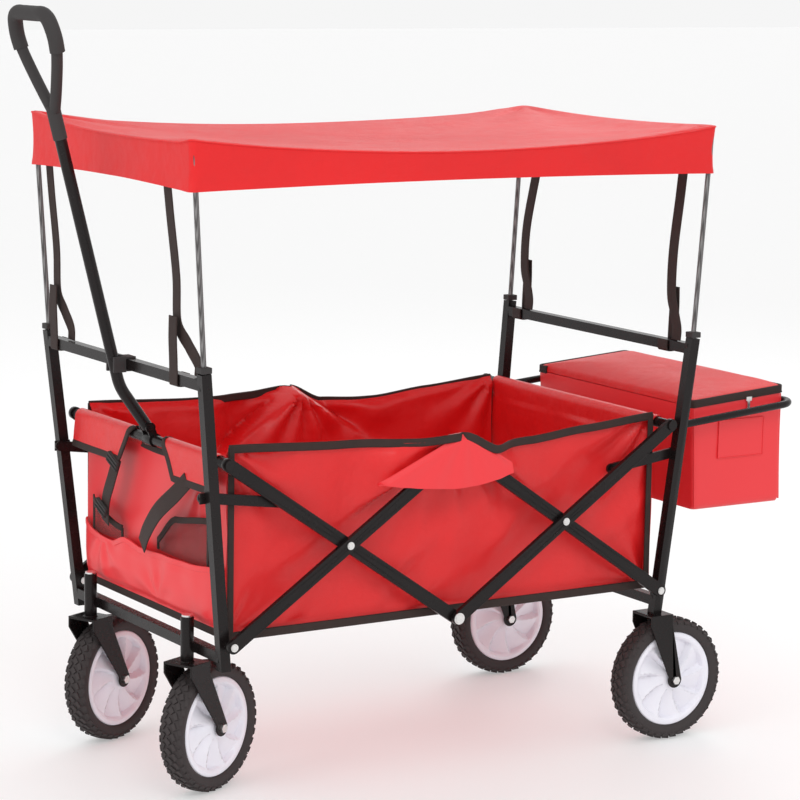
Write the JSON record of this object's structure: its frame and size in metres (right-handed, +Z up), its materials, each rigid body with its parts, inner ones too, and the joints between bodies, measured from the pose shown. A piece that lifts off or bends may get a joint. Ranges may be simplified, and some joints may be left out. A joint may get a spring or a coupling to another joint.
{
  "type": "folding wagon",
  "caption": "Folding pull wagon with a fabric tub on crossed side bars, a flat canopy on rods, a rear bag on a hoop and swivelling front wheels.",
  "frame": {"origin": "on the floor, at the middle of the overall length and width", "axes": "+X forward towards the pull handle, +Y to the wagon's left, +Z up"},
  "size_m": [1.2798, 0.546, 1.1718],
  "materials": {
    "black_steel": "gloss",
    "zinc": "satin",
    "grey_tube": "satin",
    "red_cloth": "satin",
    "webbing": "matte",
    "white_plastic": "gloss",
    "black_plastic": "matte",
    "tyre_rubber": "matte"
  },
  "bodies": {
    "rear_frame": {"rear_post_left": "black_steel", "rear_post_right": "black_steel", "rear_upper_bar": "black_steel", "rear_lower_tube": "black_steel", "rear_post_caps": "black_plastic", "rear_canopy_rods": "grey_tube", "rear_fork_left": "black_steel", "rear_fork_right": "black_steel", "rear_axle_bolts": "zinc", "rear_frame_rivets": "zinc", "canopy": "red_cloth", "rear_canopy_straps": "webbing", "bag_hoop": "black_steel", "bag_body": "red_cloth", "zip_slider": "zinc"},
    "bag_lid": {"bag_lid": "red_cloth"},
    "front_frame": {"front_post_left": "black_steel", "front_post_right": "black_steel", "front_upper_bar": "black_steel", "front_lower_tube": "black_steel", "front_post_caps": "black_plastic", "front_canopy_rods": "grey_tube", "front_canopy_straps": "webbing", "front_frame_rivets": "zinc", "handle_clip": "black_plastic"},
    "bars_a": {"bar_a_left": "black_steel", "bar_a_right": "black_steel"},
    "bars_b": {"bar_b_left": "black_steel", "bar_b_right": "black_steel", "rear_top_rail": "black_steel", "rivets_b": "zinc"},
    "bars_c": {"bar_c_left": "black_steel", "bar_c_right": "black_steel", "rivets_c": "zinc"},
    "bars_d": {"bar_d_left": "black_steel", "bar_d_right": "black_steel", "front_top_rail": "black_steel"},
    "links_rear": {"rear_links": "black_steel"},
    "links_front": {"front_links": "black_steel"},
    "tub": {"side_wall_left": "red_cloth", "side_wall_right": "red_cloth", "rear_wall": "red_cloth", "floor_panel": "red_cloth"},
    "front_panel": {"front_wall": "red_cloth", "front_pouch": "red_cloth"},
    "handle_foot": {"handle_bracket": "black_steel"},
    "handle": {"handle_shaft": "black_steel", "handle_grip": "black_plastic"},
    "caster_left": {"caster_fork_left": "black_steel", "caster_bolts_left": "zinc"},
    "caster_right": {"caster_fork_right": "black_steel", "caster_bolts_right": "zinc"},
    "wheel_front_left": {"tyre_front_left": "tyre_rubber", "disc_front_left": "white_plastic"},
    "wheel_front_right": {"tyre_front_right": "tyre_rubber", "disc_front_right": "white_plastic"},
    "wheel_rear_left": {"tyre_rear_left": "tyre_rubber", "disc_rear_left": "white_plastic"},
    "wheel_rear_right": {"tyre_rear_right": "tyre_rubber", "disc_rear_right": "white_plastic"}
  },
  "joints": [
    {"name": "fold", "type": "hinge", "parent": "rear_frame", "child": "bars_a", "pos_m": [-0.35599, 0, 0.2504], "axis": [0, -1, 0], "range_deg": [0, 29], "deforming": ["side_wall_left", "side_wall_right", "floor_panel", "canopy"]},
    {"name": "bar_b_pivot", "type": "hinge", "parent": "bars_a", "child": "bars_b", "pos_m": [-0.16049, 0, 0.3834], "axis": [0, -1, 0], "range_deg": [-58.5, 0]},
    {"name": "bar_c_pivot", "type": "hinge", "parent": "bars_a", "child": "bars_c", "pos_m": [0.03501, 0, 0.5164], "axis": [0, -1, 0], "range_deg": [-58.5, 0]},
    {"name": "bar_d_pivot", "type": "hinge", "parent": "bars_c", "child": "bars_d", "pos_m": [0.23051, 0, 0.3834], "axis": [0, -1, 0], "range_deg": [0, 58.5]},
    {"name": "front_frame_pivot", "type": "hinge", "parent": "bars_c", "child": "front_frame", "pos_m": [0.42601, 0, 0.2504], "axis": [0, -1, 0], "range_deg": [0, 29.5]},
    {"name": "tub_hang", "type": "hinge", "parent": "bars_b", "child": "tub", "pos_m": [-0.36141, 0, 0.52008], "axis": [0, -1, 0], "range_deg": [0, 29.5]},
    {"name": "front_panel_hang", "type": "hinge", "parent": "bars_d", "child": "front_panel", "pos_m": [0.43142, 0, 0.52008], "axis": [0, -1, 0], "range_deg": [-29.5, 0]},
    {"name": "rear_link_pivot", "type": "hinge", "parent": "rear_frame", "child": "links_rear", "pos_m": [-0.39522, 0, 0.4718], "axis": [0, -1, 0], "range_deg": [0, 57.05]},
    {"name": "front_link_pivot", "type": "hinge", "parent": "front_frame", "child": "links_front", "pos_m": [0.46524, 0, 0.4718], "axis": [0, -1, 0], "range_deg": [-57.05, 0]},
    {"name": "handle_foot_turn", "type": "hinge", "parent": "bars_d", "child": "handle_foot", "pos_m": [0.43142, 0.012, 0.52008], "axis": [0, -1, 0], "range_deg": [-171.6, 0]},
    {"name": "handle_tilt", "type": "hinge", "parent": "handle_foot", "child": "handle", "pos_m": [0.43892, 0.012, 0.53968], "axis": [0, -1, 0], "range_deg": [-95, 0]},
    {"name": "bag_lid_hinge", "type": "hinge", "parent": "rear_frame", "child": "bag_lid", "pos_m": [-0.43939, 0, 0.5425], "axis": [0, 1, 0], "range_deg": [0, 80]},
    {"name": "swivel_left", "type": "hinge", "parent": "front_frame", "child": "caster_left", "pos_m": [0.44871, 0.1637, 0.23], "axis": [0, 0, 1], "continuous": true},
    {"name": "swivel_right", "type": "hinge", "parent": "front_frame", "child": "caster_right", "pos_m": [0.44871, -0.1637, 0.23], "axis": [0, 0, 1], "continuous": true},
    {"name": "spin_front_left", "type": "hinge", "parent": "caster_left", "child": "wheel_front_left", "pos_m": [0.40038, 0.14218, 0.1], "axis": [-0.4067, 0.9135, 0], "continuous": true},
    {"name": "spin_front_right", "type": "hinge", "parent": "caster_right", "child": "wheel_front_right", "pos_m": [0.40038, -0.18522, 0.1], "axis": [-0.4067, 0.9135, 0], "continuous": true},
    {"name": "spin_rear_left", "type": "hinge", "parent": "rear_frame", "child": "wheel_rear_left", "pos_m": [-0.38729, 0.2375, 0.1], "axis": [0, 1, 0], "continuous": true},
    {"name": "spin_rear_right", "type": "hinge", "parent": "rear_frame", "child": "wheel_rear_right", "pos_m": [-0.38729, -0.2375, 0.1], "axis": [0, 1, 0], "continuous": true}
  ],
  "couplings": [
    {"joint": "bar_b_pivot", "follows": "fold", "ratio": -2},
    {"joint": "bar_c_pivot", "follows": "fold", "ratio": -2},
    {"joint": "bar_d_pivot", "follows": "fold", "ratio": 2},
    {"joint": "front_frame_pivot", "follows": "fold", "ratio": 1},
    {"joint": "tub_hang", "follows": "fold", "ratio": 1},
    {"joint": "front_panel_hang", "follows": "fold", "ratio": -1},
    {"joint": "rear_link_pivot", "follows": "fold", "ratio": 1.95},
    {"joint": "front_link_pivot", "follows": "fold", "ratio": -1.95},
    {"joint": "handle_foot_turn", "follows": "fold", "ratio": -5.9}
  ]
}
